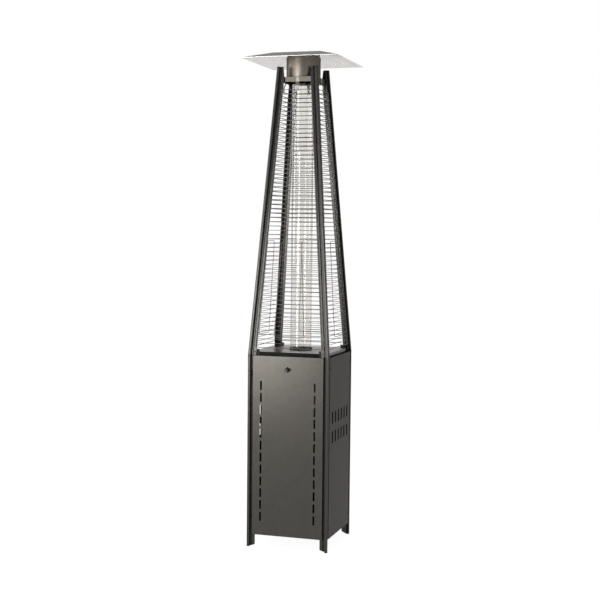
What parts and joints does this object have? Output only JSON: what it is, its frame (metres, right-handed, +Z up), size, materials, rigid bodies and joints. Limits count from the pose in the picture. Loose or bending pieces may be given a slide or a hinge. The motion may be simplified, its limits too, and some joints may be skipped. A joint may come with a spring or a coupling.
{
  "type": "patio heater",
  "caption": "Tall free-standing gas patio heater with a square cabinet, a tapering tower of corner posts and wire guards round a glass flame tube, and a square reflector on top.",
  "frame": {"origin": "on the floor under the middle of the heater", "axes": "+Z up, -Y out of the front door, +X to the right of someone facing the door"},
  "size_m": [0.457, 0.457, 2.2965],
  "materials": {
    "black_paint": "dark hammered satin paint",
    "cabinet_paint": "satin metallic grey-bronze paint",
    "bronze_paint": "glossy bronze paint",
    "reflector_aluminium": "bright satin",
    "guard_wire": "plated wire",
    "zinc_steel": "zinc plated",
    "burner_steel": "heat-dark steel",
    "brass": "satin",
    "tube_glass": "clear polished",
    "black_plastic": "satin"
  },
  "bodies": {
    "heater": {"lower_post_front_left": "black_paint", "lower_post_front_right": "black_paint", "lower_post_rear_right": "black_paint", "lower_post_rear_left": "black_paint", "upper_post_front_left": "black_paint", "upper_post_front_right": "black_paint", "upper_post_rear_right": "black_paint", "upper_post_rear_left": "black_paint", "right_panel": "cabinet_paint", "rear_panel": "cabinet_paint", "left_panel": "cabinet_paint", "base_plate": "cabinet_paint", "top_plate": "bronze_paint", "hood": "bronze_paint", "burner_shelf": "reflector_aluminium", "reflector": "reflector_aluminium", "upper_guard_front": "guard_wire", "upper_guard_right": "guard_wire", "upper_guard_rear": "guard_wire", "upper_guard_left": "guard_wire", "lower_guard_front": "guard_wire", "lower_guard_right": "guard_wire", "lower_guard_rear": "guard_wire", "lower_guard_left": "guard_wire", "lower_guard_loop_front": "guard_wire", "lower_guard_loop_right": "guard_wire", "lower_guard_loop_rear": "guard_wire", "lower_guard_loop_left": "guard_wire", "post_joint_front_left": "zinc_steel", "post_joint_front_right": "zinc_steel", "post_joint_rear_right": "zinc_steel", "post_joint_rear_left": "zinc_steel", "guard_clip_front": "zinc_steel", "guard_clip_right": "zinc_steel", "guard_clip_rear": "zinc_steel", "guard_clip_left": "zinc_steel", "reflector_bolt_1": "zinc_steel", "reflector_bolt_2": "zinc_steel", "reflector_bolt_3": "zinc_steel", "reflector_bolt_4": "zinc_steel", "lower_hinge_post_knuckle": "zinc_steel", "upper_hinge_post_knuckle": "zinc_steel", "valve_bracket": "zinc_steel", "pilot_assembly": "zinc_steel", "tube_seat": "burner_steel", "tube_collar": "burner_steel", "burner_cup": "burner_steel", "burner_head": "burner_steel", "gas_valve": "brass", "gas_pipe": "brass", "glass_tube": "tube_glass", "magnet_catch": "black_plastic", "tilt_switch": "black_plastic"},
    "door": {"front_door": "cabinet_paint", "lower_hinge_door_knuckle": "zinc_steel", "upper_hinge_door_knuckle": "zinc_steel", "door_strike": "zinc_steel"},
    "push_collar": {"push_collar": "zinc_steel"},
    "knob": {"control_knob": "black_plastic", "valve_stem": "zinc_steel"}
  },
  "joints": [
    {"name": "door_hinge", "type": "hinge", "parent": "heater", "child": "door", "pos_m": [-0.177, -0.1915, 0.47], "axis": [0, 0, -1], "range_deg": [0, 100]},
    {"name": "knob_push", "type": "slide", "parent": "heater", "child": "push_collar", "axis": [0, 1, 0], "range_m": [0, 0.004], "stiffness_N_per_m": 500, "springref_m": -0.002},
    {"name": "knob_turn", "type": "hinge", "parent": "push_collar", "child": "knob", "pos_m": [-0.002, -0.203, 0.8335], "axis": [0, -1, 0], "range_deg": [0, 180]}
  ]
}
